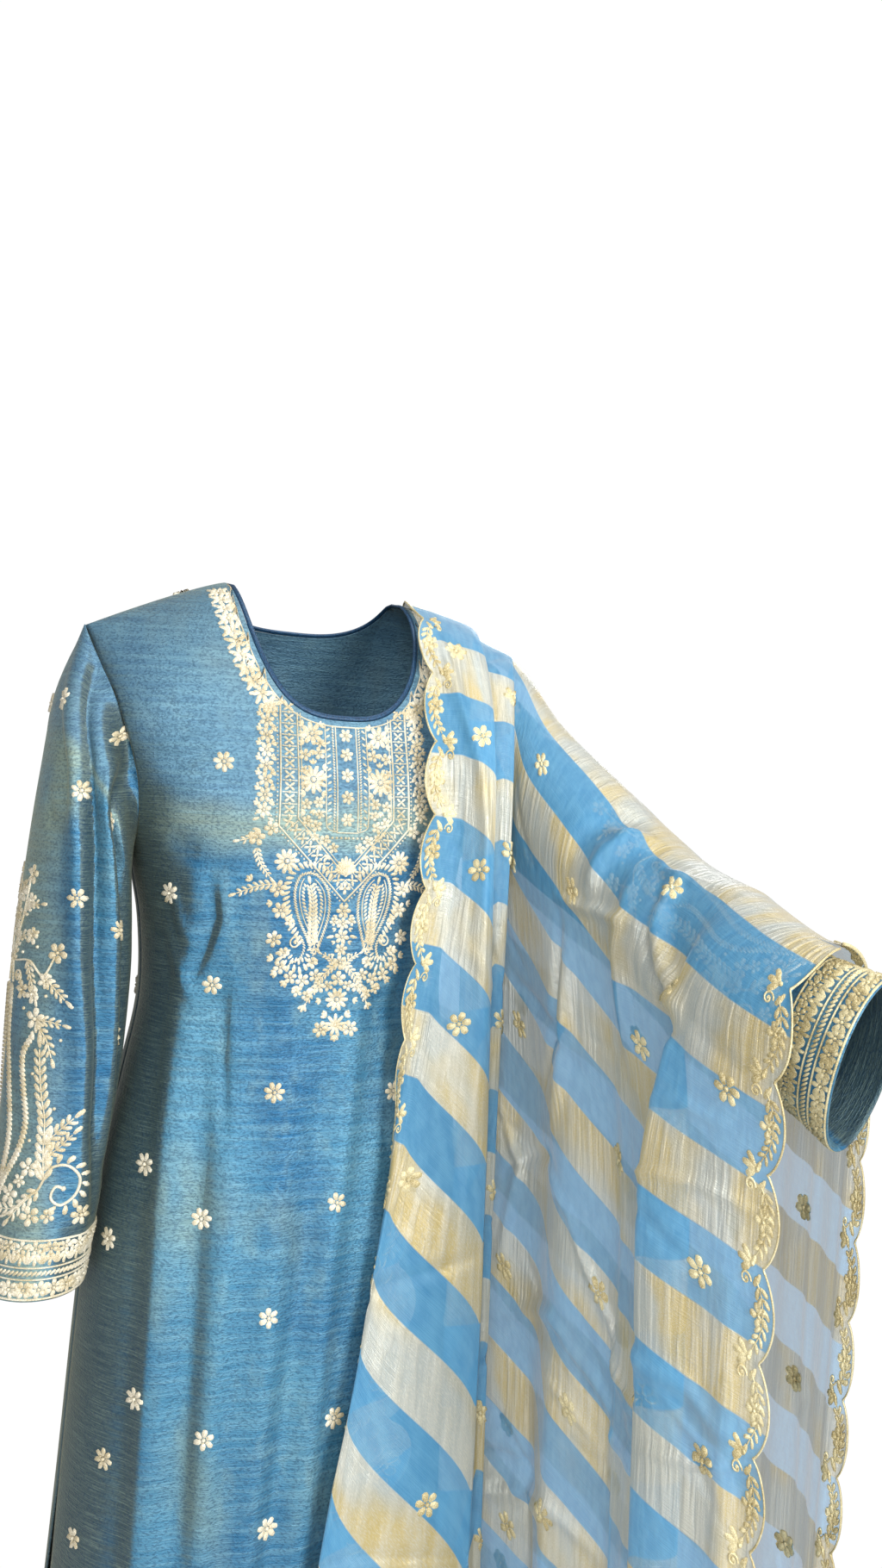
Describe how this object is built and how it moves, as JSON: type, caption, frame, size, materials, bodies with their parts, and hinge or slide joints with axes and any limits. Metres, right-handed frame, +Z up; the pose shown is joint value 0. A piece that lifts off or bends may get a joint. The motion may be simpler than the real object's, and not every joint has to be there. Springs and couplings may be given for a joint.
{
  "type": "sharara suit",
  "caption": "Women's sharara suit in its worn form: long kurta with embroidered neck and set-in sleeves, flared sharara trousers, and a striped scalloped dupatta over one arm.",
  "frame": {"origin": "middle of the neck opening on the line between the shoulder seams, where the wearer's shoulders hold the suit", "axes": "+Z up, the front of the suit faces -Y, the wearer's left arm (raised forward under the dupatta) is on the +X side"},
  "size_m": [0.764, 0.6819, 1.434],
  "materials": {
    "tissue_silk": "blue tissue silk with a metallic sheen and fine slub",
    "silk_binding": "dark blue silk binding, satin",
    "chiffon": "sheer sky-blue chiffon with pale gold tissue stripes",
    "gold_thread": "cream and pale gold embroidery thread, soft sheen"
  },
  "bodies": {
    "root": {"kurta_front": "tissue_silk", "kurta_back": "tissue_silk", "kurta_neck_binding": "silk_binding", "kurta_sleeve_right": "tissue_silk", "kurta_sleeve_left": "tissue_silk", "sharara_waistband": "tissue_silk", "sharara_leg_right": "tissue_silk", "sharara_leg_left": "tissue_silk", "dupatta_neck_fall": "chiffon", "dupatta_elbow_fall": "chiffon", "dupatta_wrist_fall": "chiffon", "dupatta_back_fall": "chiffon", "dupatta_outer_fall": "chiffon"}
  },
  "joints": []
}
